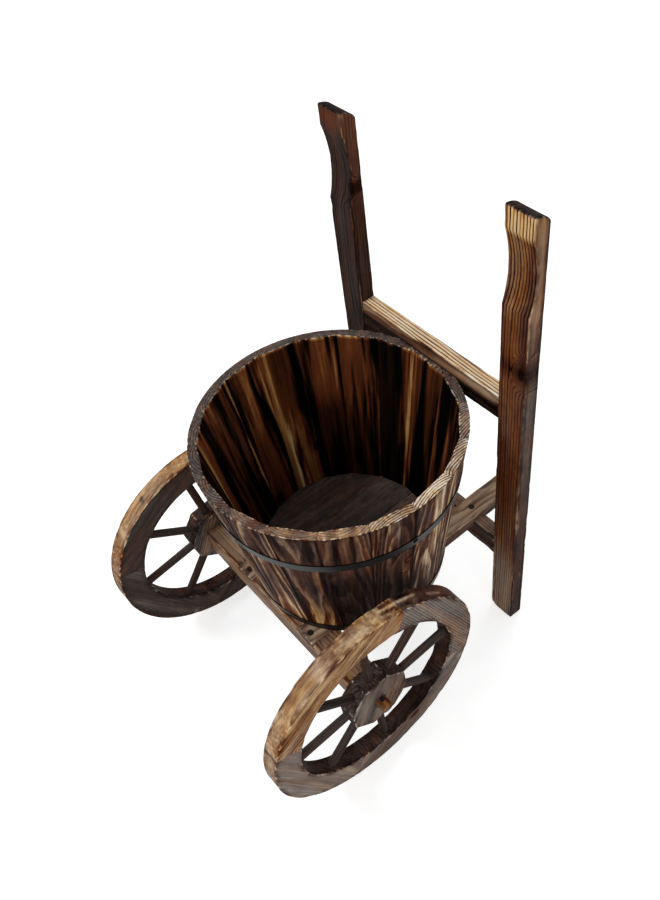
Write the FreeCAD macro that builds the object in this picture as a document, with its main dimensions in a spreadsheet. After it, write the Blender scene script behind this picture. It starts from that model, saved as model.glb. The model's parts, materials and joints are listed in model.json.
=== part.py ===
"""Two-wheeled cart planter of burnt fir: a coopered barrel on a wooden barrow frame.

Millimetres. X runs across the cart, with +X its right side. +Y runs from the axle towards the two
uprights, whose tops are the handles. +Z is up. The origin is on the floor, under the middle of the
whole cart.
"""

import FreeCAD, Part
import os
import re
import Sketcher

STAVE_COUNT = 18
SPOKE_COUNT = 8
FELLOE_COUNT = 4
SIDES = {"left": -1, "right": 1}

SIZES = {
    # Wheels: a rim of felloes, dowel spokes and an eight-sided hub.
    "wheel_radius": 150.0,
    "wheel_clearance": 14.4,
    "rim_width": 36.0,
    "rim_thickness": 23.5,
    "left_wheel_turn": 8.0,
    "right_wheel_turn": 3.0,
    "spoke_radius": 5.5,
    "hub_socket_depth": 15.0,
    "felloe_socket_depth": 12.0,
    "hub_flat_radius": 40.0,
    "hub_length": 27.0,
    # Axle: a square beam with a round journal at each end, and a pin outside each hub.
    "axle_section": 38.0,
    "journal_radius": 7.5,
    "journal_clearance": 0.08,
    "hub_side_clearance": 0.5,
    "nub_reach": 13.25,
    "linchpin_radius": 1.5,
    "linchpin_length": 26.0,
    "linchpin_head_radius": 3.0,
    "linchpin_head_height": 1.5,
    # Side rails: from the axle's front face back past the uprights.
    "rail_width": 31.0,
    "rail_thickness": 18.0,
    "rail_spacing": 128.0,
    "rail_overhang": 74.5,
    # Cross rails, tenoned into the uprights.
    "crossrail_height": 36.0,
    "crossrail_depth": 19.0,
    "tenon_height": 22.0,
    "tenon_depth": 10.0,
    "tenon_length": 16.0,
    "upper_rail_rise": 17.0,
    # Uprights: the legs and handles, with a hollow for the hand below a top that rounds off to the rear.
    "upright_width": 38.0,
    "upright_depth": 21.0,
    "upright_height": 670.0,
    "upright_gap": 231.0,
    "upright_top_fall": 11.0,
    "grip_drop": 24.5,
    "grip_length": 89.5,
    "grip_hollow": 7.3,
    # Barrel: leaning staves, flat inside and turned round outside, planed behind to clear the upper rail.
    "barrel_axle_lap": 16.4,
    "barrel_height": 238.0,
    "barrel_bottom_radius": 122.4,
    "barrel_top_radius": 157.3,
    "stave_thickness": 12.5,
    "stave_turn": -3.0,
    "planed_rim_thickness": 4.9,
    "rail_clearance": 0.3,
    "floor_thickness": 15.0,
    # Hoops: two riveted steel bands round the staves.
    "hoop_width": 12.5,
    "hoop_thickness": 1.2,
    "hoop_clearance": 0.1,
    "upper_hoop_drop": 59.0,
    "lower_hoop_rise": 1.0,
    "rivet_radius": 1.5,
    "rivet_head_radius": 3.0,
    "rivet_head_height": 1.4,
    # Countersunk wood screws.
    "screw_radius": 2.0,
    "screw_head_radius": 4.0,
    "screw_head_height": 2.4,
    "screw_recess": 1.2,
    "frame_screw_length": 27.0,
    "frame_screw_inset": 9.5,
    "barrel_screw_length": 26.0,
    "barrel_screw_spacing": 100.0,
    # Fits.
    "seam_gap": 0.2,
    "drill_clearance": 0.1,
    "overrun": 2.0,
}

SIZE_NAME = re.compile(r"\b(" + "|".join(SIZES) + r")\b")

ALONG_X = FreeCAD.Rotation(FreeCAD.Vector(0, 1, 0), 90)
UPSIDE_DOWN = FreeCAD.Rotation(FreeCAD.Vector(1, 0, 0), 180)

# Places that several pieces share, worked out from the sizes. A reach is measured back from the axle.
# WHEEL_TOP_RADIUS is the barrel's at the height of the wheels' tops, where the wheels stand clear of it.
BARREL_REACH = "(barrel_bottom_radius - barrel_axle_lap)"
RIM_BACK_REACH = f"({BARREL_REACH} + barrel_top_radius - stave_thickness + planed_rim_thickness)"
UPRIGHT_REACH = f"({RIM_BACK_REACH} + rail_clearance + crossrail_depth / 2)"
AXLE_Y = f"((wheel_radius - {UPRIGHT_REACH} - rail_overhang) / 2)"
UPRIGHT_Y = f"({AXLE_Y} + {UPRIGHT_REACH})"
CROSSRAIL_Y = f"({UPRIGHT_Y} - crossrail_depth / 2)"
BARREL_Y = f"({AXLE_Y} + {BARREL_REACH})"
BED_Z = "(wheel_radius + axle_section / 2)"
LAP_Z = f"({BED_Z} - rail_thickness / 2)"
STAVE_SLOPE = "((barrel_top_radius - barrel_bottom_radius) / barrel_height)"
HALF_STAVE = f"(180 deg / {STAVE_COUNT})"
WHEEL_TOP_RADIUS = f"(barrel_bottom_radius + {STAVE_SLOPE} * (wheel_radius - axle_section / 2))"
WHEEL_X = f"({WHEEL_TOP_RADIUS} + wheel_clearance + rim_thickness / 2)"
HUB_OUTER_X = f"({WHEEL_X} + hub_length / 2)"
BEAM_LENGTH = f"(2 * ({WHEEL_X} - hub_length / 2 - hub_side_clearance))"
LINCHPIN_X = f"({HUB_OUTER_X} + hub_side_clearance + linchpin_head_radius)"
RIM_INNER_RADIUS = "(wheel_radius - rim_width)"
HUB_SOCKET_RADIUS = "(hub_flat_radius - hub_socket_depth)"
SPOKE_ROOM = f"({RIM_INNER_RADIUS} + felloe_socket_depth - {HUB_SOCKET_RADIUS})"
UPPER_RAIL_TOP = f"({BED_Z} + barrel_height + upper_rail_rise)"

doc = FreeCAD.newDocument("cart_planter")
sheet = doc.addObject("Spreadsheet::Sheet", "Sizes")
for row, (alias, number) in enumerate(SIZES.items(), start=1):
    sheet.set(f"A{row}", alias)
    sheet.set(f"B{row}", str(number))
    sheet.setAlias(f"B{row}", alias)
doc.recompute()

nodes = []


def formula(text):
    """The expression that reads each named size from the sheet."""
    return SIZE_NAME.sub(r"Sizes.\g<0>", text)


def value(text):
    """A formula's present value."""
    result = sheet.evalExpression(formula(text))
    return float(getattr(result, "Value", result))


def bind(item, **formulas):
    for name, text in formulas.items():
        item.setExpression(name, formula(text))
    return item


def place(item, x="0", y="0", z="0", rotation=FreeCAD.Rotation()):
    item.Placement = FreeCAD.Placement(FreeCAD.Vector(), rotation)
    for letter, text in zip("xyz", (x, y, z)):
        item.setExpression(f"Placement.Base.{letter}", formula(text))
    return item


def node(item, label):
    """Names a finished piece and lists it for export."""
    item.Label = label
    nodes.append(item)
    return item


def block(name, size, low_corner):
    item = doc.addObject("Part::Box", name)
    bind(item, Length=size[0], Width=size[1], Height=size[2])
    return place(item, *low_corner)


def rod(name, radius, length, start, rotation=FreeCAD.Rotation()):
    item = doc.addObject("Part::Cylinder", name)
    bind(item, Radius=radius, Height=length)
    return place(item, *start, rotation)


def fuse(name, shapes):
    item = doc.addObject("Part::MultiFuse", name)
    item.Shapes = shapes
    return item


def cut(name, base, tools):
    item = doc.addObject("Part::Cut", name)
    item.Base = base
    item.Tool = tools[0] if len(tools) == 1 else fuse(f"{name}_cuts", tools)
    return item


def common(name, base, tool):
    item = doc.addObject("Part::Common", name)
    item.Base = base
    item.Tool = tool
    return item


def group(name, shapes):
    item = doc.addObject("Part::Compound", name)
    item.Links = shapes
    return item


def sketch_on(body, role):
    """An empty sketch on one of the body's own origin planes."""
    plane = next(item for item in body.Origin.OriginFeatures if item.Role == role)
    sketch = body.newObject("Sketcher::SketchObject", f"{body.Name}_outline")
    sketch.AttachmentSupport = (plane, [""])
    sketch.MapMode = "FlatFace"
    return sketch


def outline(sketch, corners, arcs=None):
    """A closed outline through corners given as formulas.

    arcs holds, under the number of the corner that it starts from, each round edge's middle point
    and radius.
    """
    arcs = arcs or {}
    first = sketch.GeometryCount
    spots = [FreeCAD.Vector(value(x), value(y), 0) for x, y in corners]
    ends = []
    for number, start in enumerate(spots):
        finish = spots[(number + 1) % len(spots)]
        if number in arcs:
            middle = FreeCAD.Vector(*(value(text) for text in arcs[number][0]), 0)
            leftward = (middle - start).cross(finish - middle).z > 0
            edge = Part.Arc(start, middle, finish) if leftward else Part.Arc(finish, middle, start)
            ends.append((1, 2) if leftward else (2, 1))
        else:
            edge = Part.LineSegment(start, finish)
            ends.append((1, 2))
        sketch.addGeometry(edge, False)
    for number in range(len(spots)):
        after = (number + 1) % len(spots)
        sketch.addConstraint(
            Sketcher.Constraint("Coincident", first + number, ends[number][1], first + after, ends[after][0])
        )
    for number, (x, y) in enumerate(corners):
        for kind, text in (("DistanceX", x), ("DistanceY", y)):
            dimension(sketch, text, kind, -1, 1, first + number, ends[number][0])
    for number, (middle, radius) in arcs.items():
        dimension(sketch, radius, "Radius", first + number)


def dimension(sketch, text, kind, *references):
    """A sketch dimension that follows its formula."""
    index = sketch.addConstraint(Sketcher.Constraint(kind, *references, value(text)))
    sketch.setExpression(f"Constraints[{index}]", formula(text))


def slab(name, role, corners, thickness, arcs=None):
    """A body sawn from a flat outline, centred on its origin plane."""
    body = doc.addObject("PartDesign::Body", name)
    sketch = sketch_on(body, role)
    outline(sketch, corners, arcs)
    pad = body.newObject("PartDesign::Pad", f"{name}_pad")
    pad.Profile = sketch
    pad.SideType = "Symmetric"
    bind(pad, Length=thickness)
    return body


def spoke_angle(side, number):
    return f"({side}_wheel_turn + 360 / {SPOKE_COUNT} * {number})"


def spoke_bar(name, side, number, slack):
    """A bar along one spoke's line, from the hub socket's floor to the felloe socket's floor."""
    angle = spoke_angle(side, number)
    start = f"({HUB_SOCKET_RADIUS} - {slack})"
    rotation = FreeCAD.Rotation(FreeCAD.Vector(1, 0, 0), value(angle) - 90)
    return rod(
        name,
        f"spoke_radius + {slack}",
        f"{SPOKE_ROOM} + 2 * {slack}",
        (
            f"{SIDES[side]} * {WHEEL_X}",
            f"{AXLE_Y} + {start} * cos({angle} * 1 deg)",
            f"wheel_radius + {start} * sin({angle} * 1 deg)",
        ),
        rotation,
    )


def felloe(side, number, drills):
    """One arc of the rim, with the sockets of its own spokes."""
    half = f"(180 deg / {FELLOE_COUNT} - seam_gap / 2 / wheel_radius * 1 rad)"
    corners = [
        (f"{radius} * cos({half})", f"{sign} * {radius} * sin({half})")
        for radius, sign in (
            ("wheel_radius", -1),
            ("wheel_radius", 1),
            (RIM_INNER_RADIUS, 1),
            (RIM_INNER_RADIUS, -1),
        )
    ]
    arcs = {
        0: (("wheel_radius", "0"), "wheel_radius"),
        2: ((RIM_INNER_RADIUS, "0"), RIM_INNER_RADIUS),
    }
    name = f"{side}_felloe_{number + 1}"
    arc = slab(f"{name}_blank", "YZ_Plane", corners, "rim_thickness", arcs)
    share = SPOKE_COUNT // FELLOE_COUNT
    own = range(number * share, (number + 1) * share)
    middle = f"({spoke_angle(side, own[0])} + {spoke_angle(side, own[-1])}) / 2"
    place(
        arc,
        f"{SIDES[side]} * {WHEEL_X}",
        AXLE_Y,
        "wheel_radius",
        FreeCAD.Rotation(FreeCAD.Vector(1, 0, 0), value(middle)),
    )
    node(cut(name, arc, [drills[spoke] for spoke in own]), name)


def hub(side, drills):
    """The eight-sided hub: a spoke enters the middle of each flat."""
    name = f"{side}_hub"
    prism = doc.addObject("Part::Prism", f"{name}_blank")
    prism.Polygon = SPOKE_COUNT
    bind(prism, Circumradius=f"hub_flat_radius / cos(180 deg / {SPOKE_COUNT})", Height="hub_length")
    corner = value(spoke_angle(side, 0)) + 180 / SPOKE_COUNT
    start = (f"{SIDES[side]} * {WHEEL_X} - hub_length / 2", AXLE_Y, "wheel_radius")
    place(prism, *start, FreeCAD.Rotation(FreeCAD.Vector(1, 0, 0), corner) * ALONG_X)
    bore = rod(
        f"{name}_bore",
        "journal_radius + journal_clearance",
        "hub_length + 2 * overrun",
        (f"{start[0]} - overrun", AXLE_Y, "wheel_radius"),
        ALONG_X,
    )
    node(cut(name, prism, [bore, *drills]), name)


def wheel(side):
    drills = []
    for number in range(SPOKE_COUNT):
        drills.append(spoke_bar(f"{side}_spoke_{number + 1}_drill", side, number, "drill_clearance"))
        name = f"{side}_spoke_{number + 1}"
        node(spoke_bar(name, side, number, "0"), name)
    for number in range(FELLOE_COUNT):
        felloe(side, number, drills)
    hub(side, drills)


def screw(name, length, slack, spot, rotation):
    """A countersunk screw, its head's face at the spot and its point down before it is turned."""
    reach = f"({length} + {slack})"
    shank = rod(f"{name}_shank", f"screw_radius + {slack}", reach, ("0", "0", f"-{reach}"))
    head = doc.addObject("Part::Cone", f"{name}_head")
    bind(
        head,
        Radius1=f"screw_radius + {slack}",
        Radius2=f"screw_head_radius + {slack}",
        Height="screw_head_height",
    )
    place(head, z="-screw_head_height")
    return place(fuse(name, [shank, head]), *spot, rotation)


def screw_drill(name, length, spot, rotation):
    """The hole for a screw, open above its head."""
    hole = screw(f"{name}_hole", length, "drill_clearance", spot, rotation)
    mouth = rod(
        f"{name}_mouth",
        "screw_head_radius + drill_clearance",
        "screw_recess + overrun",
        spot,
        rotation,
    )
    return fuse(f"{name}_drill", [hole, mouth])


def frame_screw_spots():
    spots = {}
    for side, sign in SIDES.items():
        x = f"{sign} * rail_spacing / 2"
        z = f"{BED_Z} - screw_recess"
        spots[f"{side}_front"] = (x, f"{AXLE_Y} - axle_section / 2 + frame_screw_inset", z)
        spots[f"{side}_rear"] = (x, UPRIGHT_Y, z)
    return spots


def barrel_screw_spots():
    spots = {}
    for side, sign in SIDES.items():
        x = f"{sign} * rail_spacing / 2"
        z = f"{BED_Z} - rail_thickness + screw_recess"
        spots[f"{side}_front"] = (x, f"{BARREL_Y} - barrel_screw_spacing / 2", z)
        spots[f"{side}_rear"] = (x, f"{BARREL_Y} + barrel_screw_spacing / 2", z)
    return spots


def screws(name, length, spots, rotation):
    """A set of like screws as one node, and the holes that they need."""
    pieces = []
    drills = {}
    for place_name, spot in spots.items():
        pieces.append(screw(f"{name}_{place_name}", length, "0", spot, rotation))
        drills[place_name] = screw_drill(f"{name}_{place_name}", length, spot, rotation)
    node(group(name, pieces), name)
    return drills


def linchpins():
    """A headed pin down through each journal, just outside its hub."""
    pins = []
    drills = []
    for side, sign in SIDES.items():
        x = f"{sign} * {LINCHPIN_X}"
        seat = "(wheel_radius + journal_radius)"
        low = (x, AXLE_Y, f"{seat} - linchpin_length")
        stem = rod(f"{side}_linchpin_stem", "linchpin_radius", "linchpin_length", low)
        head = rod(
            f"{side}_linchpin_head", "linchpin_head_radius", "linchpin_head_height", (x, AXLE_Y, seat)
        )
        pins.append(fuse(f"{side}_linchpin", [stem, head]))
        drills.append(
            rod(f"{side}_linchpin_drill", "linchpin_radius + drill_clearance", "linchpin_length", low)
        )
    node(group("linchpins", pins), "linchpins")
    return drills


def axle(pin_drills, screw_drills):
    beam = block(
        "axle_square",
        (BEAM_LENGTH, "axle_section", "axle_section"),
        (
            f"-{BEAM_LENGTH} / 2",
            f"{AXLE_Y} - axle_section / 2",
            "wheel_radius - axle_section / 2",
        ),
    )
    half_length = f"({HUB_OUTER_X} + nub_reach)"
    journals = rod(
        "axle_journals",
        "journal_radius",
        f"2 * {half_length}",
        (f"-{half_length}", AXLE_Y, "wheel_radius"),
        ALONG_X,
    )
    housings = [
        block(
            f"{side}_rail_housing",
            ("rail_width + seam_gap", "axle_section + 2 * overrun", "rail_thickness / 2 + overrun"),
            (
                f"{sign} * rail_spacing / 2 - rail_width / 2 - seam_gap / 2",
                f"{AXLE_Y} - axle_section / 2 - overrun",
                LAP_Z,
            ),
        )
        for side, sign in SIDES.items()
    ]
    whole = fuse("axle_blank", [beam, journals])
    node(cut("axle_beam", whole, [*housings, *pin_drills, *screw_drills]), "axle_beam")


def side_rail(side, drills):
    """A flat rail, halved over the axle at its front end and notched over the lower cross rail."""
    name = f"{side}_side_rail"
    x = f"{SIDES[side]} * rail_spacing / 2 - rail_width / 2"
    front = f"({AXLE_Y} - axle_section / 2)"
    low = f"({BED_Z} - rail_thickness)"
    plank = block(
        f"{name}_blank",
        ("rail_width", f"{UPRIGHT_REACH} + rail_overhang + axle_section / 2", "rail_thickness"),
        (x, front, low),
    )
    lap = block(
        f"{name}_lap",
        (
            "rail_width + 2 * overrun",
            "axle_section + seam_gap + overrun",
            "rail_thickness / 2 + overrun",
        ),
        (f"{x} - overrun", f"{front} - overrun", f"{low} - overrun"),
    )
    notch = block(
        f"{name}_notch",
        (
            "rail_width + 2 * overrun",
            "crossrail_depth + seam_gap",
            "rail_thickness / 2 + overrun",
        ),
        (f"{x} - overrun", f"{CROSSRAIL_Y} - seam_gap / 2", f"{low} - overrun"),
    )
    node(cut(name, plank, [lap, notch, *drills]), name)


def cross_rail(name, top):
    """A rail between the uprights with a stub tenon at each end."""
    body = block(
        f"{name}_body",
        ("upright_gap", "crossrail_depth", "crossrail_height"),
        ("-upright_gap / 2", CROSSRAIL_Y, f"{top} - crossrail_height"),
    )
    tenons = block(
        f"{name}_tenons",
        ("upright_gap + 2 * tenon_length", "tenon_depth", "tenon_height"),
        (
            "-upright_gap / 2 - tenon_length",
            f"{UPRIGHT_Y} - tenon_depth / 2",
            f"{top} - crossrail_height / 2 - tenon_height / 2",
        ),
    )
    return fuse(f"{name}_blank", [body, tenons])


def mortises(name, top):
    """The slots for a cross rail's two tenons."""
    return block(
        f"{name}_mortises",
        (
            "upright_gap + 2 * tenon_length + seam_gap",
            "tenon_depth + seam_gap",
            "tenon_height + seam_gap",
        ),
        (
            "-upright_gap / 2 - tenon_length - seam_gap / 2",
            f"{UPRIGHT_Y} - tenon_depth / 2 - seam_gap / 2",
            f"{top} - crossrail_height / 2 - tenon_height / 2 - seam_gap / 2",
        ),
    )


def upright(side, slots):
    """A leg that is also a handle: a hollow in its front face, below a top that falls to the rear."""
    name = f"{side}_upright"
    front = "(-upright_depth / 2)"
    rear = "(upright_depth / 2)"
    grip_top = "(upright_height - grip_drop)"
    grip_bottom = f"({grip_top} - grip_length)"
    corners = [
        (front, "0"),
        (rear, "0"),
        (rear, "upright_height - upright_top_fall"),
        (front, "upright_height"),
        (front, grip_top),
        (front, grip_bottom),
    ]
    # The top's arc is level at the front edge.
    top_radius = "((upright_depth ^ 2 + upright_top_fall ^ 2) / (2 * upright_top_fall))"
    crown = ("0", f"upright_height - {top_radius} + sqrt({top_radius} ^ 2 - upright_depth ^ 2 / 4)")
    deepest = (f"{front} + grip_hollow", f"{grip_top} - grip_length / 2")
    grip_radius = "(grip_length ^ 2 / 4 + grip_hollow ^ 2) / (2 * grip_hollow)"
    arcs = {2: (crown, top_radius), 4: (deepest, grip_radius)}
    post = slab(f"{name}_blank", "YZ_Plane", corners, "upright_width", arcs)
    place(
        post,
        f"{SIDES[side]} * (upright_gap / 2 + upright_width / 2)",
        UPRIGHT_Y,
    )
    node(cut(name, post, slots), name)


def stave(number, turned_cone, planed_back):
    """One stave, its edges bevelled to meet its neighbours and its outer face turned round."""
    name = f"stave_{number + 1:02d}"
    inner_bottom = "(barrel_bottom_radius - stave_thickness)"
    outer_top = "(barrel_top_radius + overrun)"
    corners = [
        (inner_bottom, "0"),
        ("barrel_bottom_radius + overrun", "0"),
        (outer_top, "barrel_height"),
        ("barrel_top_radius - stave_thickness", "barrel_height"),
    ]
    width = f"(2 * {outer_top} * tan({HALF_STAVE}))"
    board = slab(f"{name}_blank", "XZ_Plane", corners, width)
    bevels = sketch_on(board, "XY_Plane")
    near = f"({inner_bottom} - overrun)"
    far = f"({outer_top} + overrun)"
    for sign in (1, -1):
        edge = [
            (r, f"{sign} * ({r} * tan({HALF_STAVE}) - seam_gap / 2 / cos({HALF_STAVE}))")
            for r in (near, far)
        ]
        outside = f"{sign} * ({width} / 2 + overrun)"
        outline(bevels, [*edge, (far, outside), (near, outside)])
    pocket = board.newObject("PartDesign::Pocket", f"{name}_bevels")
    pocket.Profile = bevels
    pocket.Type = "ThroughAll"
    pocket.Reversed = True
    turn = value(f"stave_turn + 360 / {STAVE_COUNT} * ({number} + 1 / 2)")
    place(board, "0", BARREL_Y, BED_Z, FreeCAD.Rotation(FreeCAD.Vector(0, 0, 1), turn))
    turned = common(f"{name}_turned", board, turned_cone)
    node(cut(name, turned, [planed_back]), name)


def barrel_cone():
    """The barrel's outside as it is turned round, a little longer than the staves."""
    cone = doc.addObject("Part::Cone", "turned_cone")
    bind(
        cone,
        Radius1=f"barrel_bottom_radius - {STAVE_SLOPE} * overrun",
        Radius2=f"barrel_top_radius + {STAVE_SLOPE} * overrun",
        Height="barrel_height + 2 * overrun",
    )
    # The cone's own seam falls between two staves.
    turn = FreeCAD.Rotation(FreeCAD.Vector(0, 0, 1), value("stave_turn"))
    return place(cone, "0", BARREL_Y, f"{BED_Z} - overrun", turn)


def planed_flat():
    """The wood planed off the back of the barrel, so that it clears the upper rail."""
    return block(
        "planed_flat",
        ("upright_gap", "barrel_top_radius", "barrel_height + overrun"),
        ("-upright_gap / 2", f"{CROSSRAIL_Y} - rail_clearance", BED_Z),
    )


def floor_boards(drills):
    """Two boards that fill the barrel's tapered bottom, one over each side rail."""
    rings = []
    for name, height in (("floor_bottom", "0"), ("floor_top", "floor_thickness")):
        ring = doc.addObject("Part::RegularPolygon", name)
        ring.Polygon = STAVE_COUNT
        flat = f"barrel_bottom_radius - stave_thickness + {STAVE_SLOPE} * {height} - seam_gap"
        bind(ring, Circumradius=f"({flat}) / cos({HALF_STAVE})")
        turn = FreeCAD.Rotation(FreeCAD.Vector(0, 0, 1), value("stave_turn"))
        rings.append(place(ring, "0", BARREL_Y, f"{BED_Z} + {height}", turn))
    plug = doc.addObject("Part::Loft", "floor_plug")
    plug.Sections = rings
    plug.Solid = True
    plug.Ruled = True
    for side, sign in SIDES.items():
        half = block(
            f"{side}_floor_half",
            ("barrel_top_radius", "2 * barrel_top_radius", "floor_thickness"),
            (
                "seam_gap / 2" if sign > 0 else "-barrel_top_radius - seam_gap / 2",
                f"{BARREL_Y} - barrel_top_radius",
                BED_Z,
            ),
        )
        board = common(f"{side}_floor_blank", plug, half)
        own =[drills[f"{side}_front"], drills[f"{side}_rear"]]
        name = f"{side}_floor_board"
        node(cut(name, board, own), name)


def hoop(name, low, rivets):
    """A steel band bent to the barrel's cone, closed by a rivet."""
    high = f"({low} + hoop_width)"
    inner = {
        level: f"(barrel_bottom_radius + {STAVE_SLOPE} * {level} + hoop_clearance)" for level in (low, high)
    }
    body = doc.addObject("PartDesign::Body", f"{name}_band")
    section = sketch_on(body, "XZ_Plane")
    corners = [
        (inner[low], low),
        (f"{inner[low]} + hoop_thickness", low),
        (f"{inner[high]} + hoop_thickness", high),
        (inner[high], high),
    ]
    outline(section, corners)
    band = body.newObject("PartDesign::Revolution", f"{name}_turn")
    band.Profile = section
    upright_axis = next(item for item in body.Origin.OriginFeatures if item.Role == "Z_Axis")
    band.ReferenceAxis = (upright_axis, [""])
    place(body, "0", BARREL_Y, BED_Z)

    middle = f"({low} + hoop_width / 2)"
    radius = f"(({inner[low]} + {inner[high]}) / 2 + hoop_thickness)"
    tilt = value(f"atan({STAVE_SLOPE})")
    around = FreeCAD.Rotation(FreeCAD.Vector(0, 0, 1), value("stave_turn"))
    outwards = around * FreeCAD.Rotation(FreeCAD.Vector(0, 1, 0), 90 + tilt)
    spot = (
        f"{radius} * cos(stave_turn * 1 deg)",
        f"{BARREL_Y} + {radius} * sin(stave_turn * 1 deg)",
        f"{BED_Z} + {middle}",
    )
    inwards = outwards * UPSIDE_DOWN
    shank = rod(f"{name}_rivet_shank", "rivet_radius", "hoop_thickness", spot, inwards)
    head = rod(f"{name}_rivet_head", "rivet_head_radius", "rivet_head_height", spot, outwards)
    rivets.append(fuse(f"{name}_rivet", [shank, head]))
    drill_in = rod(
        f"{name}_rivet_drill", "rivet_radius + drill_clearance", "hoop_thickness + overrun", spot, inwards
    )
    drill_out = rod(f"{name}_rivet_mouth", "rivet_radius + drill_clearance", "overrun", spot, outwards)
    node(cut(name, body, [drill_in, drill_out]), name)


def barrel(floor_drills):
    turned_cone = barrel_cone()
    planed_back = planed_flat()
    for number in range(STAVE_COUNT):
        stave(number, turned_cone, planed_back)
    floor_boards(floor_drills)
    rivets = []
    hoop("upper_hoop", "(barrel_height - upper_hoop_drop - hoop_width)", rivets)
    hoop("lower_hoop", "(lower_hoop_rise)", rivets)
    node(group("hoop_rivets", rivets), "hoop_rivets")


def frame():
    """Axle, rails, uprights and the screws that hold them, with the barrel's screws."""
    frame_drills = screws("frame_screws", "frame_screw_length", frame_screw_spots(), FreeCAD.Rotation())
    barrel_drills = screws("barrel_screws", "barrel_screw_length", barrel_screw_spots(), UPSIDE_DOWN)
    axle(linchpins(), [frame_drills[f"{side}_front"] for side in SIDES])
    for side in SIDES:
        own = [
            drills[f"{side}_{end}"] for drills in (frame_drills, barrel_drills) for end in ("front", "rear")
        ]
        side_rail(side, own)
    upper = cross_rail("upper_cross_rail", UPPER_RAIL_TOP)
    node(upper, "upper_cross_rail")
    lower = cross_rail("lower_cross_rail", LAP_Z)
    node(
        cut("lower_cross_rail", lower, [frame_drills[f"{side}_rear"] for side in SIDES]), "lower_cross_rail"
    )
    slots = [mortises("upper_cross_rail", UPPER_RAIL_TOP), mortises("lower_cross_rail", LAP_Z)]
    for side in SIDES:
        upright(side, slots)
    return barrel_drills


def check_and_write():
    """Stops on a failed object or an empty piece, then writes one file for each piece."""
    doc.recompute()
    failed = [item.Name for item in doc.Objects if {"Invalid", "Error"} & set(item.State)]
    if failed:
        raise RuntimeError(f"objects failed: {failed}")
    for item in nodes:
        if item.Shape.isNull() or not item.Shape.isValid() or not item.Shape.Solids:
            raise RuntimeError(f"bad shape: {item.Label}")
    os.makedirs("parts", exist_ok=True)
    for item in nodes:
        item.Shape.exportStep(f"parts/{item.Label}.step")
        print(f"{item.Label}: {len(item.Shape.Solids)} solid, {item.Shape.Volume:.0f} mm3")


barrel(frame())
for cart_side in SIDES:
    wheel(cart_side)
check_and_write()
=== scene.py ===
"""A two-wheeled cart planter of burnt fir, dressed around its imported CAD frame."""

import json
import math
from collections import namedtuple
from collections.abc import Callable
from dataclasses import dataclass

import bmesh
import bpy
from mathutils import Matrix, Vector, kdtree, noise

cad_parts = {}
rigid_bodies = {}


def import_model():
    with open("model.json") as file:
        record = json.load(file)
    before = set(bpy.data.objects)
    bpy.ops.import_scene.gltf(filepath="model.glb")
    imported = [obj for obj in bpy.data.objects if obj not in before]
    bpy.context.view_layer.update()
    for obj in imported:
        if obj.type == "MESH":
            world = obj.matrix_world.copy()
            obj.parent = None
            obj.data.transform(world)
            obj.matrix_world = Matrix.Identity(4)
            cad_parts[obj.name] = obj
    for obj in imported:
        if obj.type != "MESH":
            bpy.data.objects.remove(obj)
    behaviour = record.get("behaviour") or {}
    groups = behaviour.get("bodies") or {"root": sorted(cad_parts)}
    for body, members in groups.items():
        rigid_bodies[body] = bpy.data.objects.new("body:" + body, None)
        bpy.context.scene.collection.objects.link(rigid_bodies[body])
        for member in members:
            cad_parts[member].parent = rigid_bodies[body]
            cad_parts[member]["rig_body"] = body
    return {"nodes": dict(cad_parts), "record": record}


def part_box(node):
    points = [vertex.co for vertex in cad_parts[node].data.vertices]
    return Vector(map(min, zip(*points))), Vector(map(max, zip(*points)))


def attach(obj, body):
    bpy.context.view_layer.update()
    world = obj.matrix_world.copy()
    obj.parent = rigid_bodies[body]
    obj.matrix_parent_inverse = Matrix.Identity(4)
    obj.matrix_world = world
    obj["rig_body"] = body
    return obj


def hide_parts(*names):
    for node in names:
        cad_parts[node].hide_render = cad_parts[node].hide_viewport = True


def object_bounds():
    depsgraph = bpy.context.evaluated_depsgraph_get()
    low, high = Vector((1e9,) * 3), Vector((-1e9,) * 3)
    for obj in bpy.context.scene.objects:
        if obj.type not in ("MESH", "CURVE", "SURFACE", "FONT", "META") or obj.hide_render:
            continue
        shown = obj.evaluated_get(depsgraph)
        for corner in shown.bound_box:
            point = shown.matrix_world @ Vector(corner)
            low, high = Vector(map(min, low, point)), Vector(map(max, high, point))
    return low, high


bl_info = {
    "name": "Burnt cart planter",
    "version": (1, 0, 0),
    "blender": (4, 5, 0),
    "location": "View3D > Sidebar > Cart planter",
    "description": "Wears, chars and lacquers the wooden pieces of a cart planter",
    "category": "Object",
}

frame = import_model()
CAD_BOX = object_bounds()
SLOTS = {part["node"]: part["material_slot"] for part in frame["record"]["subparts"]}

MM = 0.001
X_AXIS = Vector((1, 0, 0))
Y_AXIS = Vector((0, 1, 0))
Z_AXIS = Vector((0, 0, 1))
WELD = 1e-6
FLAT_ANGLE = math.radians(0.6)
SHARP_ANGLE = math.radians(32)
CREASE_ANGLE = math.radians(38)
SHORTEST_EDGE = 2.2 * MM
EDGE_SAMPLE = 1.5 * MM
FAR_FROM_EDGE = 40 * MM
NO_KNOT = (900.0, 900.0, 900.0)
# How much lighter broken wood is, and the least lightness of the painted shade in a gap.
BROKEN_LIGHT = 0.25
DARKEST_GAP_SHADE = 0.02
SIDES = ("left", "right")
STAVE_COUNT = 18
FELLOE_COUNT = 4
SPOKE_COUNT = 8
# Waves per metre of the planing, the knocks along edges and the splintered ground of a chip.
PLANING_WAVES = 30
KNOCK_WAVES = 45
FINE_KNOCK_WAVES = 110
SPLINTER_WAVES = 300
KNOCK_REACH = 2.4 * MM
PLANING_START = 5 * MM
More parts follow.
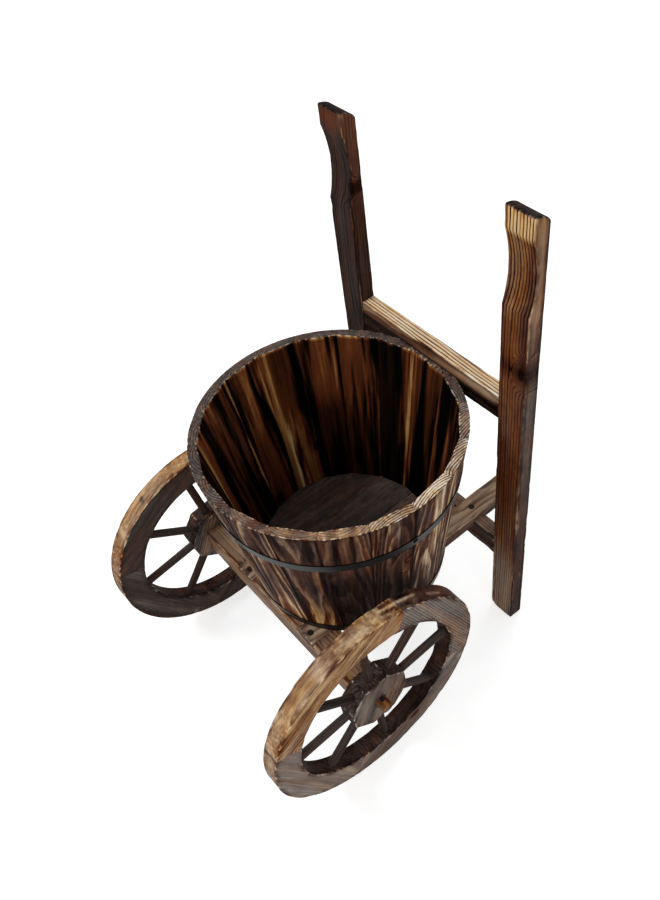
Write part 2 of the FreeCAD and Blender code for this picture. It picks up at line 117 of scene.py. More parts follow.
# Seeds of the first piece of each family. The staves use their own numbers.
FLOOR_SEED = 30
FELLOE_SEED = 50
SPOKE_SEED = 80
HUB_SEED = 110
AXLE_SEED = 121
SIDE_RAIL_SEED = 130
CROSS_RAIL_SEED = 140
POST_SEED = 150
# How far apart two seeds lie along the grain, in millimetres.
SEED_STEP = 733.0

# How a place is burnt: its lightness, how far the grain changes that, the share of growth rings in the
# grain, dark lines above 0 and light ones below, and its warmth from grey at 0 to brown at 1.
Burn = namedtuple("Burn", "light span rings warmth")
# A finish: the width of a growth ring in millimetres, then the shares of bands, streaks, blotches, mottles
# and fibres, and the strength of the wear with its painted glints, the scorched edges and the clear coat.
Wood = namedtuple("Wood", "ring band streak blotch mottle fibre wear scorch gloss")


def colour(name, description, default):
    return bpy.props.FloatVectorProperty(
        name=name, description=description, subtype="COLOR", size=3, min=0, max=1, default=default
    )


def length(name, description, default):
    return bpy.props.FloatProperty(name=name, description=description, unit="LENGTH", min=0, default=default)


def amount(name, description, default):
    return bpy.props.FloatProperty(
        name=name, description=description, subtype="FACTOR", min=0, max=1, default=default
    )


def pointer(kind, name, description):
    return bpy.props.PointerProperty(type=kind, name=name, description=description)


class CartSizes(bpy.types.PropertyGroup):
    """Sizes of the wear and the grid that each wooden piece is cut into"""

    edge_round: length("Edge round", "Width of the rounded edges of rails, posts and wheels", 1.3 * MM)
    stave_round: length("Stave round", "Width of the rounded edges of the staves", 0.8 * MM)
    grid_along: length("Grid along", "Spacing of the cuts along the grain", 7 * MM)
    grid_across: length("Grid across", "Spacing of the cuts across the grain", 3 * MM)
    ripple: length("Ripple", "Depth of the uneven planing of a face", 0.35 * MM)
    edge_loss: length("Edge loss", "Depth of the knocks along an edge", 1.4 * MM)


class CartColours(bpy.types.PropertyGroup):
    """Colours of the burnt wood, the steel and the stage"""

    soot: colour("Soot", "Wood that is charred black", (0.002, 0.0016, 0.0015))
    pitch: colour("Pitch", "Nearly black burnt wood", (0.0075, 0.0042, 0.0034))
    umber: colour("Umber", "Dark burnt wood", (0.0455, 0.0125, 0.0056))
    russet: colour("Russet", "Brown burnt wood", (0.19, 0.052, 0.0170))
    honey: colour("Honey", "Lightly burnt wood", (0.48, 0.23, 0.070))
    straw: colour("Straw", "Bare wood", (0.88, 0.56, 0.23))
    cream: colour("Cream", "Freshly broken wood", (0.95, 0.82, 0.58))
    ash: colour("Ash", "Grey dark burnt wood", (0.027, 0.0212, 0.0198))
    clay: colour("Clay", "Grey brown burnt wood", (0.091, 0.0715, 0.0650))
    bark: colour("Bark", "Grey light burnt wood", (0.27, 0.212, 0.178))
    drift: colour("Drift", "Grey bare wood", (0.65, 0.52, 0.41))
    bone: colour("Bone", "Grey freshly broken wood", (0.92, 0.85, 0.76))
    hoop_black: colour("Hoop black", "Black paint of the hoops", (0.006, 0.006, 0.0065))
    hoop_rub: colour("Hoop rub", "Rubbed paint of the hoops", (0.03, 0.029, 0.028))
    dull_steel: colour("Dull steel", "Steel of screws and pins", (0.012, 0.0115, 0.011))
    rust: colour("Rust", "Rust on screws and pins", (0.03, 0.018, 0.012))
    floor_white: colour("Floor white", "Pale studio floor", (0.72, 0.72, 0.72))


# The lightness at which each step of the warm and the grey colours stands.
LIGHT_STEPS = (0.0, 0.05, 0.12, 0.27, 0.46, 0.70, 1.0)
WARM_STEPS = ("soot", "pitch", "umber", "russet", "honey", "straw", "cream")
GREY_STEPS = ("soot", "pitch", "ash", "clay", "bark", "drift", "bone")


class CartFinish(bpy.types.PropertyGroup):
    """How strongly the wood is burnt, worn with painted glints on its edges, and lacquered"""

    # Wear lightens the rubbed edges, as real wear and as painted glints.
    wear: amount("Wear", "How light the rubbed edges are", 0.8)
    scorch: amount("Scorch", "How dark the burnt edges are", 0.9)
    lacquer: amount("Lacquer", "Weight of the clear coat", 0.8)


@dataclass
class Chip:
    """A chip at a place, or a tear from there over a span, with its change of lightness."""

    start: Vector
    width: float
    depth: float
    light: float = BROKEN_LIGHT
    span: Vector = Vector().freeze()

    def share(self, point):
        """How much of the chip a point has: 1 on its line, falling off with its width."""
        step = point - self.start
        along = step.dot(self.span) / max(self.span.length_squared, WELD * WELD)
        return bell((step - self.span * min(1.0, max(0.0, along))).length, self.width)


@dataclass
class Looks:
    """What is particular to one wooden piece: its heart, paint, knot, chips and joints."""

    heart: tuple
    paint: Callable
    lean: tuple = (0.0, 0.0)
    knot: tuple = None
    chips: tuple = ()
    knocks: float = 1.0
    joint: Callable = None

    def joined(self, part):
        """Whether an edge or a point lies on a face that meets a neighbour."""
        return self.joint is not None and any(self.joint(face) for face in part.link_faces)


def settings():
    return bpy.context.scene.cart_planter


def smooth_step(low, high, x):
    share = min(1.0, max(0.0, (x - low) / (high - low)))
    return share * share * (3 - 2 * share)


def bell(x, width):
    return math.exp(-((x / width) ** 2))


def draw(seed, low=0.0, high=1.0):
    """A steady number between low and high for a seed."""
    return low + (high - low) * (0.5 + 0.5 * noise.cell(Vector((seed * 1.37 + 0.5, seed * 0.61 + 0.5, 0.5))))


def box_centre(node):
    low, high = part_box(node)
    return (low + high) / 2


def outer_edge(edge):
    return (
        len(edge.link_faces) == 2
        and edge.is_convex
        and edge.calc_length() > SHORTEST_EDGE
        and edge.calc_face_angle() > SHARP_ANGLE
    )


def edge_points(edges):
    points = []
    for edge in edges:
        start, end = (v.co for v in edge.verts)
        count = max(1, round((end - start).length / EDGE_SAMPLE))
        points.extend(start.lerp(end, step / count) for step in range(count + 1))
    tree = kdtree.KDTree(len(points))
    for index, point in enumerate(points):
        tree.insert(point, index)
    tree.balance()
    return tree


def edge_distance(rubbed, point):
    found = rubbed.find(point)[2]
    return FAR_FROM_EDGE if found is None else min(found, FAR_FROM_EDGE)


def cut_grid(form, centre, axes, spacings):
    for axis, spacing in zip(axes, spacings):
        reach = [(v.co - centre).dot(axis) for v in form.verts]
        low, high = min(reach), max(reach)
        count = max(1, round((high - low) / spacing))
        for step in range(1, count):
            place = centre + axis * (low + (high - low) * step / count)
            parts = [*form.verts, *form.edges, *form.faces]
            bmesh.ops.bisect_plane(form, geom=parts, dist=WELD, plane_co=place, plane_no=axis)


def worn_form(node, axes, looks, edge_round, spacings):
    """The node's shape with rounded edges and faces cut into a grid, and a tree of its edges."""
    form = bmesh.new()
    form.from_mesh(frame["nodes"][node].data)
    bmesh.ops.remove_doubles(form, verts=form.verts, dist=WELD)
    bmesh.ops.dissolve_limit(form, angle_limit=FLAT_ANGLE, verts=form.verts, edges=form.edges)
    edges = [edge for edge in form.edges if outer_edge(edge) and not looks.joined(edge)]
    rubbed = edge_points(edges)
    bmesh.ops.bevel(
        form,
        geom=edges,
        offset=edge_round,
        offset_type="OFFSET",
        segments=2,
        profile=0.5,
        affect="EDGES",
        clamp_overlap=False,
    )
    cut_grid(form, box_centre(node), axes, spacings)
    bmesh.ops.triangulate(form, faces=[face for face in form.faces if len(face.verts) > 4])
    bmesh.ops.recalc_face_normals(form, faces=form.faces)
    form.normal_update()
    return form, rubbed


def wear_down(form, rubbed, looks, seed):
    """Moves points inwards only: uneven planing, knocked edges and chips."""
    sizes = settings().sizes
    shift = Vector((seed * 0.7, seed * 0.3, 0))
    moved = []
    for vert in form.verts:
        if looks.joined(vert):
            continue
        distance = edge_distance(rubbed, vert.co)
        place = vert.co + shift
        planing = 0.5 + 0.5 * noise.noise(place * PLANING_WAVES)
        knock = noise.noise(place * KNOCK_WAVES) + 0.5 * noise.noise(place * FINE_KNOCK_WAVES)
        splinters = 0.6 + 0.5 * noise.noise(place * SPLINTER_WAVES)
        depth = sizes.ripple * planing * smooth_step(0, PLANING_START, distance)
        depth += sizes.edge_loss * looks.knocks * max(0.0, knock - 0.15) * bell(distance, KNOCK_REACH)
        for chip in looks.chips:
            depth += chip.depth * chip.share(vert.co) * splinters
        moved.append((vert, vert.normal * depth))
    for vert, step in moved:
        vert.co -= step
    form.normal_update()


def wooden_piece(node, axes, looks, seed, edge_round=None, spacings=None):
    """A worn copy of a wooden CAD node with its grain, burn and edges stored on its points."""
    sizes = settings().sizes
    edge_round = edge_round or sizes.edge_round
    spacings = spacings or (sizes.grid_along, sizes.grid_across, sizes.grid_across * 1.5)
    centre = box_centre(node)
    form, rubbed = worn_form(node, axes, looks, edge_round, spacings)
    wear_down(form, rubbed, looks, seed)
    grain, knots, edges, burns, tones = [], [], [], [], []
    for vert in form.verts:
        step = vert.co - centre
        along, across, thick = (step.dot(axis) / MM for axis in axes)
        facing = [vert.normal.dot(axis) for axis in axes]
        ring_across = across - looks.heart[0] - looks.lean[0] * along
        ring_thick = thick - looks.heart[1] - looks.lean[1] * along
        grain.extend((along + seed * SEED_STEP, ring_across, ring_thick))
        knots.extend((along - looks.knot[0], across - looks.knot[1], 0.0) if looks.knot else NO_KNOT)
        burn = looks.paint(along, across, thick, facing)
        light = burn.light
        # Chips are lighter broken wood; the dark gaps of tears are painted shade, and one stave's chip is
        # also a painted highlight.
        for chip in looks.chips:
            light = max(DARKEST_GAP_SHADE, light + chip.light * chip.share(vert.co))
        burns.extend((light, burn.span, burn.rings))
        tones.append(burn.warmth)
        edges.append(edge_distance(rubbed, vert.co) / MM)
    mesh = bpy.data.meshes.new(node + "_burnt")
    form.to_mesh(mesh)
    form.free()
    for name, values in (("grain", grain), ("knot", knots), ("burn", burns)):
        mesh.attributes.new(name, "FLOAT_VECTOR", "POINT").data.foreach_set("vector", values)
    for name, values in (("tone", tones), ("edge", edges)):
        mesh.attributes.new(name, "FLOAT", "POINT").data.foreach_set("value", values)
    mesh.shade_smooth()
    mesh.set_sharp_from_angle(angle=CREASE_ANGLE)
    mesh.materials.append(burnt_wood(SLOTS[node]))
    piece = bpy.data.objects.new(node + "_burnt", mesh)
    bpy.context.scene.collection.objects.link(piece)
    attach(piece, frame["nodes"][node]["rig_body"])
    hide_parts(node)
    return piece


class Net:
    """Adds nodes to one node tree and links them."""

    def __init__(self, tree):
        self.tree = tree

    def feed(self, socket, value):
        if isinstance(value, bpy.types.NodeSocket):
            self.tree.links.new(value, socket)
        else:
            socket.default_value = value

    def add(self, kind, inputs=None, **values):
        made = self.tree.nodes.new(kind)
        for name, value in values.items():
            setattr(made, name, value)
        for name, value in (inputs or {}).items():
            self.feed(made.inputs[name], value)
        return made

    def math(self, operation, *values, clamp=False):
        made = self.add("ShaderNodeMath", operation=operation, use_clamp=clamp)
        for socket, value in zip(made.inputs, values):
            self.feed(socket, value)
        return made.outputs[0]

    def plus(self, *values):
        total = values[0]
        for value in values[1:]:
            total = self.math("ADD", total, value)
        return total

    def times(self, first, second):
        return self.math("MULTIPLY", first, second)

    def minus(self, first, second):
        return self.math("SUBTRACT", first, second)

    def centred(self, value, scale):
        return self.times(self.minus(value, 0.5), scale)

    def ramp(self, value, low, high, start=0.0, end=1.0):
        limits = {"From Min": low, "From Max": high, "To Min": start, "To Max": end}
        made = self.add("ShaderNodeMapRange", {"Value": value, **limits}, interpolation_type="SMOOTHSTEP")
        return made.outputs[0]

    def split(self, vector):
        return self.add("ShaderNodeSeparateXYZ", {"Vector": vector}).outputs

    def scaled(self, parts, scales):
        inputs = {name: self.times(part, scale) for name, part, scale in zip("XYZ", parts, scales)}
        return self.add("ShaderNodeCombineXYZ", inputs).outputs[0]

    def attribute(self, name):
        return self.add("ShaderNodeAttribute", attribute_name=name, attribute_type="GEOMETRY").outputs

    def noise(self, vector, detail=2.0, roughness=0.5):
        inputs = {"Vector": vector, "Scale": 1.0, "Detail": detail, "Roughness": roughness}
        return self.add("ShaderNodeTexNoise", inputs).outputs

    def blend(self, factor, first, second):
        made = self.add("ShaderNodeMix", data_type="RGBA")
        for identifier, value in (("Factor_Float", factor), ("A_Color", first), ("B_Color", second)):
            self.feed(next(s for s in made.inputs if s.identifier == identifier), value)
        return next(s for s in made.outputs if s.identifier == "Result_Color")

    def group(self, tree, inputs):
        return self.add("ShaderNodeGroup", inputs, node_tree=tree).outputs


def empty_net(owner):
    """The cleared node tree of a material or a world."""
    owner.use_nodes = True
    owner.node_tree.nodes.clear()
    return Net(owner.node_tree)


def node_group(name, inputs, outputs, kind="NodeSocketFloat"):
    """Turns a function that gives a group's results in order into one that gives the group, made once."""

    def wrap(fill):
        def group():
            tree = bpy.data.node_groups.get(name)
            if tree:
                return tree
            tree = bpy.data.node_groups.new(name, "ShaderNodeTree")
            for label, default in inputs.items():
                socket = tree.interface.new_socket(label, in_out="INPUT", socket_type="NodeSocketFloat")
                socket.default_value = default
            for label in outputs:
                tree.interface.new_socket(label, in_out="OUTPUT", socket_type=kind)
            net = Net(tree)
            wanted = net.add("NodeGroupOutput").inputs
            for socket, result in zip(wanted, fill(net, net.add("NodeGroupInput").outputs)):
                net.feed(socket, result)
            return tree

        return group

    return wrap


# Noise scales per millimetre along, across and through a board.
SLOW_WANDER = (0.006, 0.026, 0.026)
QUICK_WANDER = (0.03, 0.14, 0.14)
BANDS = (0.0035, 0.052, 0.03)
STREAKS = (0.003, 0.36, 0.36)
FIBRES = (0.02, 0.85, 0.85)
HAIRS = (0.06, 2.8, 2.8)
BLOTCHES = (0.012, 0.05, 0.05)
RAGGED_EDGES = (0.035, 0.22, 0.22)
MOTTLES = (0.09, 0.2, 0.2)
TINTS = (0.010, 0.07, 0.07)


GRAIN_INPUTS = {"Ring Spacing": 4.0, "Wander": 8.0, "Ripple": 1.2, "Knot Size": 8.0}
GRAIN_MARKS = ("Late", "Band", "Streak", "Fibre", "Knot")
SHARED_MARKS = ("Band", "Streak", "Blotch", "Mottle", "Fibre")
LIGHT_INPUTS = (*GRAIN_MARKS, *(name + " Share" for name in SHARED_MARKS), "Wear", "Scorch")


@node_group("Fir grain", GRAIN_INPUTS, (*GRAIN_MARKS, "Relief"))
def fir_grain_group(net, given):
    """Growth rings round the heart of the board, long bands and fibres, and one knot."""
    along, across, thick = net.split(net.attribute("grain")["Vector"])
    parts = (along, across, thick)
    slow = net.split(net.noise(net.scaled(parts, SLOW_WANDER), 3.0)["Color"])
    quick = net.split(net.noise(net.scaled(parts, QUICK_WANDER), 2.0)["Color"])
    wavy = [
        net.plus(part, net.centred(slow[i], given["Wander"]), net.centred(quick[i], given["Ripple"]))
        for i, part in ((0, across), (1, thick))
    ]
    radius = net.math("SQRT", net.plus(net.times(wavy[0], wavy[0]), net.times(wavy[1], wavy[1])))
    knot_along, knot_across, knot_off = net.split(net.attribute("knot")["Vector"])
    leaning = net.times(knot_along, 0.55)
    reach = net.math("SQRT", net.plus(net.times(leaning, leaning), net.times(knot_across, knot_across)))
    reach = net.plus(reach, net.centred(quick[2], 3.0))
    core = net.math("DIVIDE", reach, given["Knot Size"])
    near = net.ramp(knot_off, 0.6 * NO_KNOT[2], 0.4 * NO_KNOT[2])
    hold = net.times(net.math("EXPONENT", net.times(net.times(core, core), -1.0)), near)
    ringed = net.plus(net.times(radius, net.minus(1.0, hold)), net.times(net.times(reach, 1.6), hold))
    count = net.math("DIVIDE", ringed, given["Ring Spacing"])
    phase = net.math("FRACT", count)
    late = net.times(net.ramp(phase, 0.38, 0.82), net.ramp(phase, 0.90, 1.0, 1.0, 0.0))
    ring = net.add("ShaderNodeTexWhiteNoise", {"W": net.math("FLOOR", count)}, noise_dimensions="1D")
    late = net.times(late, net.plus(0.55, net.times(ring.outputs["Value"], 0.6)))
    band = net.ramp(net.noise(net.scaled((along, *wavy), BANDS), 3.0, 0.55)[0], 0.41, 0.57)
    streak = net.ramp(net.noise(net.scaled((along, *wavy), STREAKS), 2.0, 0.55)[0], 0.36, 0.64)
    fibre = net.noise(net.scaled(parts, FIBRES), 3.0, 0.62)[0]
    hair = net.noise(net.scaled(parts, HAIRS), 2.0, 0.6)[0]
    strands = net.plus(net.times(fibre, 0.65), net.times(hair, 0.35))
    knot = net.times(net.ramp(core, 0.8, 0.3), near)
    relief = net.plus(net.times(late, 0.5), net.times(streak, 0.25), net.times(strands, 0.55))
    return late, band, streak, strands, knot, relief


@node_group("Burnt light", dict.fromkeys(LIGHT_INPUTS, 0.5), ("Light", "Worn"))
def burnt_light_group(net, given):
    """How light the burnt wood is at a point, from its burn, grain, knots and edges."""
    parts = net.split(net.attribute("grain")["Vector"])
    base, span, ringed = net.split(net.attribute("burn")["Vector"])
    blotch = net.noise(net.scaled(parts, BLOTCHES), 3.0, 0.55)[0]
    ragged = net.noise(net.scaled(parts, RAGGED_EDGES), 4.0, 0.6)[0]
    edge = net.attribute("edge")["Fac"]
    # Rubbed edges: lighter as real wear and as painted glints along the edges.
    rubbed = net.times(net.ramp(edge, 2.2, 0.3), net.ramp(ragged, 0.48, 0.62))
    burnt = net.times(net.ramp(edge, 9.0, 0.5), net.ramp(ragged, 0.60, 0.36))
    mottle = net.noise(net.scaled(parts, MOTTLES), 3.0, 0.65)[0]
    sawn = net.minus(1.15, net.math("ABSOLUTE", ringed))
    long = net.plus(
        net.times(net.centred(given["Streak"], 2.0), given["Streak Share"]),
        net.times(net.centred(given["Fibre"], 5.0), given["Fibre Share"]),
    )
    pattern = net.plus(
        net.times(net.minus(0.36, given["Late"]), net.times(ringed, 2.2)),
        net.times(long, sawn),
        net.times(net.centred(blotch, 5.0), given["Blotch Share"]),
        net.times(net.centred(mottle, 5.0), given["Mottle Share"]),
    )
    light = net.plus(base, net.times(pattern, span))
    light = net.math("MAXIMUM", light, net.times(base, 0.12))
    charred = net.times(net.minus(1.0, given["Band"]), net.times(given["Band Share"], sawn))
    light = net.times(light, net.math("SUBTRACT", 1.0, charred, clamp=True))
    light = net.times(light, net.minus(1.0, net.times(burnt, given["Scorch"])))
    light = net.times(light, net.minus(1.0, net.times(given["Knot"], 0.6)))
    # Painted glints and wear: the rubbed edges are lightened.
    light = net.plus(light, net.times(rubbed, given["Wear"]))
    return net.math("ADD", light, 0.0, clamp=True), rubbed


@node_group("Burnt colour", {"Light": 0.5, "Knot": 0.0}, ("Colour",), "NodeSocketColor")
def burnt_colour_group(net, given):
    """The colour of burnt wood for a lightness, between grey and warm."""
    colours = settings().colours
    ramps = []
    for names in (GREY_STEPS, WARM_STEPS):
        made = net.add("ShaderNodeValToRGB", {"Fac": given["Light"]})
        points = made.color_ramp.elements
        for step, name in enumerate(names):
            point = points[step] if step in (0, 1) else points.new(1.0)
            point.position = LIGHT_STEPS[step]
            point.color = (*getattr(colours, name), 1.0)
        ramps.append(made.outputs["Color"])
    parts = net.split(net.attribute("grain")["Vector"])
    tint = net.noise(net.scaled(parts, TINTS), 2.0)[0]
    warmth = net.plus(net.attribute("tone")["Fac"], net.centred(tint, 1.3))
    warmth = net.math("ADD", warmth, net.times(given["Knot"], 0.6), clamp=True)
    return (net.blend(warmth, *ramps),)


def new_material(name):
    material = bpy.data.materials.new(name)
    net = empty_net(material)
    shader = net.add("ShaderNodeBsdfPrincipled")
    net.feed(net.add("ShaderNodeOutputMaterial").inputs["Surface"], shader.outputs[0])
    return material, net, shader


WOODS = {
    "stave_wood": Wood(3.0, 1.10, 0.35, 0.55, 0.25, 0.40, 0.45, 0.35, 0.10),
    "floor_wood": Wood(3.4, 0.15, 0.12, 0.45, 0.70, 0.45, 0.15, 0.30, 0.02),
    "frame_wood": Wood(3.9, 0.22, 0.40, 0.40, 0.20, 0.45, 0.34, 0.40, 0.20),
    "axle_wood": Wood(4.4, 0.30, 0.40, 0.45, 0.25, 0.45, 0.30, 0.50, 0.25),
    "wheel_wood": Wood(3.1, 0.22, 0.40, 0.65, 0.30, 0.45, 0.45, 0.50, 0.30),
    "spoke_wood": Wood(4.0, 0.25, 0.50, 0.30, 0.20, 0.50, 0.10, 0.10, 0.25),
}


def burnt_wood(slot):
    """The burnt, brushed and lacquered fir of one slot of the record."""
    known = bpy.data.materials.get("burnt_" + slot)
    if known:
        return known
    finish = settings().finish
    wood = WOODS[slot]
    material, net, shader = new_material("burnt_" + slot)
    grain = net.group(fir_grain_group(), {"Ring Spacing": wood.ring})
    marks = {name: grain[name] for name in GRAIN_MARKS}
    shares = {name + " Share": getattr(wood, name.lower()) for name in SHARED_MARKS}
    edges = {"Wear": wood.wear * finish.wear, "Scorch": wood.scorch * finish.scorch}
    light = net.group(burnt_light_group(), {**marks, **shares, **edges})
    coloured = net.group(burnt_colour_group(), {"Light": light["Light"], "Knot": grain["Knot"]})
    net.feed(shader.inputs["Base Color"], coloured["Colour"])
    rough = net.plus(0.52, net.times(grain["Late"], -0.12), net.centred(grain["Fibre"], 0.35))
    net.feed(shader.inputs["Roughness"], net.minus(rough, net.times(light["Worn"], 0.15)))
    coat = net.ramp(light["Light"], 0.25, 0.55, 0.0, wood.gloss)
    coat = net.plus(coat, net.times(light["Worn"], 0.5))
    net.feed(shader.inputs["Coat Weight"], net.times(coat, finish.lacquer))
    bump = net.add("ShaderNodeBump", {"Strength": 0.6, "Distance": 0.5 * MM, "Height": grain["Relief"]})
    net.feed(shader.inputs["Normal"], bump.outputs[0])
    shader.inputs["Coat Roughness"].default_value = 0.2
    shader.inputs["Specular IOR Level"].default_value = 0.005
    return material


@node_group("Worked steel", {"Scratch": 0.3, "Spot": 0.4}, ("Mask", "Polish", "Height"))
def worked_steel_group(net, given):
    """Fine scratches and worn spots of painted or bare steel."""
    place = net.split(net.add("ShaderNodeTexCoord").outputs["Object"])
    scratch = net.noise(net.scaled(place, (260.0, 260.0, 2600.0)), 3.0, 0.65)[0]
    spot = net.noise(net.scaled(place, (140.0, 140.0, 140.0)), 4.0, 0.6)[0]
    mask = net.times(net.ramp(spot, 0.55, 0.72), given["Spot"])
    height = net.plus(net.times(scratch, 0.5), net.times(spot, 0.5))
    return mask, net.times(scratch, given["Scratch"]), height


def steel(name, base, worn, roughness, spot, gloss):
    """Dark steel that its spots of wear or rust break up."""
    known = bpy.data.materials.get(name)
    if known:
        return known
    material, net, shader = new_material(name)
    work = net.group(worked_steel_group(), {"Scratch": 0.35, "Spot": spot})
    net.feed(shader.inputs["Base Color"], net.blend(work["Mask"], (*base, 1.0), (*worn, 1.0)))
    net.feed(shader.inputs["Roughness"], net.plus(roughness, net.times(work["Polish"], 0.5)))
    bump = net.add("ShaderNodeBump", {"Strength": 0.3, "Distance": 0.2 * MM, "Height": work["Height"]})
    net.feed(shader.inputs["Normal"], bump.outputs[0])
    shader.inputs["Specular IOR Level"].default_value = gloss
    return material


def finish_node(node, material):
    """Gives a CAD node that keeps its shape its material."""
    mesh = frame["nodes"][node].data
    mesh.materials.clear()
    mesh.materials.append(material)


# Lightness and share of rings of the outer faces that differ from the rest, by stave.
OUTER_LOOKS = {
    1: (0.60, -0.60),
    2: (0.54, -0.60),
    13: (0.36, -0.80),
    14: (0.34, -0.85),
    15: (0.31, -0.75),
    16: (0.30, -0.60),
    17: (0.29, -0.45),
    18: (0.45, -0.60),
}
PLAIN_OUTER = (0.42, -0.55)
# How far the lower part of an outer face is darkened by painted shade, by stave.
OUTER_PAINTED_SHADE = {16: 0.25, 17: 0.5, 18: 0.2}
# The end grain that differs from the rest, by stave.
RIM_LOOKS = {
    1: Burn(0.60, 0.46, 1.05, 0.42),
    2: Burn(0.48, 0.34, 1.05, 0.22),
    3: Burn(0.40, 0.20, 1.05, 0.15),
    15: Burn(0.37, 0.06, 0.9, 0.30),
    16: Burn(0.49, 0.09, 0.9, 0.42),
    17: Burn(0.49, 0.09, 0.9, 0.42),
    18: Burn(0.52, 0.30, 1.0, 0.40),
}
PLAIN_RIM = Burn(0.31, 0.07, 1.05, 0.08)
# Lightness and warmth of the inner faces, by stave.
INNER_LOOKS = {
    4: (0.15, 1.3),
    5: (0.13, 1.6),
    6: (0.06, 1.6),
    7: (0.14, 1.3),
    8: (0.12, 1.9),
    9: (0.17, 1.9),
    10: (0.22, 1.9),
    11: (0.19, 1.0),
    12: (0.24, 1.0),
}
PLAIN_INNER = (0.12, 1.5)
# Streaks inside, by stave: place across, width in millimetres, strength, start and stop up the stave.
STAVE_STREAKS = {
    4: ((0.80, 3, 0.30, 0.35, 1.2), (0.20, 3, 0.18, 0.3, 1.2), (-0.4, 3, 0.24, 0.4, 1.2)),
    5: ((0.88, 2, 0.28, 0.0, 1.2), (0.20, 8, 0.12, 0.3, 1.2), (-0.85, 3, 0.22, 0.4, 1.2)),
    6: ((-0.85, 4, 0.24, 0.3, 1.2), (-0.55, 2, 0.18, 0.2, 1.2)),
    7: ((0.30, 14, 0.14, 0.4, 1.2), (-0.35, 3, 0.18, 0.35, 1.2), (-0.82, 4, 0.30, 0.3, 1.2)),
    8: ((0.0, 16, 0.20, 0.5, 1.2), (-0.75, 6, 0.36, 0.55, 1.2)),
    9: (
        (-0.1, 14, 0.22, -0.3, 0.62),
        (0.72, 3.5, 0.85, -0.3, 0.58),
        (0.85, 3, 0.35, 0.3, 1.2),
        (0.35, 2.5, 0.25, -0.3, 0.7),
    ),
    10: ((0.0, 14, 0.14, 0.45, 1.2), (-0.93, 2.5, 0.35, 0.15, 1.2), (0.97, 1.6, 0.45, -0.3, 1.2)),
    11: ((0.6, 5, 0.20, 0.8, 1.2), (-0.97, 1.6, 0.25, -0.3, 1.2)),
    12: ((0.2, 8, 0.18, 0.75, 1.2), (0.9, 3, 0.22, 0.5, 1.2)),
}
PLAIN_STREAKS = ((0.9, 3, 0.25, 0.0, 1.2), (-0.5, 4, 0.15, 0.3, 1.2))
STAVE_KNOTS = {9: (-48.0, -15.0), 10: (-95.0, 10.0), 18: (19.0, 20.0)}
STRIPED_STAVES = (18, 1, 2, 3)
GLOWING_STAVES = (15, 16)
GOLDEN_GLOW = 0.20
# The stave with a chip beside its knot, painted far lighter as a painted highlight, and where that is along,
# across and out from its middle.
CHIPPED_GLINT_STAVE = 18
CHIP_AND_GLINT_PLACE = (18.0, 22.0, 4.4)


HEART_DISTANCE = 60.0
# The turn in degrees at which the first stave starts.
FIRST_SEAM = -3.0


def stave_heart(number, turn):
    """Where the heart of the tree lies: beside the striped staves, behind the others."""
    if number in STRIPED_STAVES:
        return -HEART_DISTANCE * math.sin(turn), HEART_DISTANCE * math.cos(turn)
    return draw(number, -14, 14), draw(number + 20, -45, -18)


def stave_paint(number, half_width, height):
    """Near-black inside with golden streaks, banded brown outside, ringed end grain on the rim.

    half_width gives half the stave's width at a place along it and through its thickness.
    """
    inner, warmth = INNER_LOOKS.get(number, PLAIN_INNER)
    outer, ringed = OUTER_LOOKS.get(number, PLAIN_OUTER)
    rim = RIM_LOOKS.get(number, PLAIN_RIM)
    glow = GOLDEN_GLOW if number in GLOWING_STAVES else 0.0
    streaks = STAVE_STREAKS.get(number, PLAIN_STREAKS)

    def paint(along, across, thick, facing):
        half = half_width(along, thick)
        side = across / half
        rise = along / height + 0.5
        if facing[0] > 0.6:
            return rim
        seam = smooth_step(half - 1.3, half - 0.3, abs(across))
        if facing[2] > 0.3:
            golden = glow * smooth_step(0.45, 0.1, rise)
            # Painted shade: the outer face darkens towards the bottom.
            shaded_below = OUTER_PAINTED_SHADE.get(number, 0.0) * smooth_step(0.85, 0.5, rise)
            light = (outer + golden) * (1 - 0.6 * seam) * (1 - shaded_below)
            return Burn(light, (0.25 - 0.6 * ringed) * light, ringed, 0.45 + 2 * golden)
        gold = 0.25 * smooth_step(0.98, 1.0, rise)
        for place, width, strength, start, stop in streaks:
            fade = smooth_step(start, start + 0.22, rise) * smooth_step(stop, stop - 0.2, rise)
            gold += 0.8 * strength * bell((side - place) * half, width) * fade
        worn = draw(number * 2 + (side > 0), 0.05, 0.50) * seam
        return Burn(inner + gold + worn, 0.25 * inner + 0.3 * gold, -0.2, warmth)

    return paint


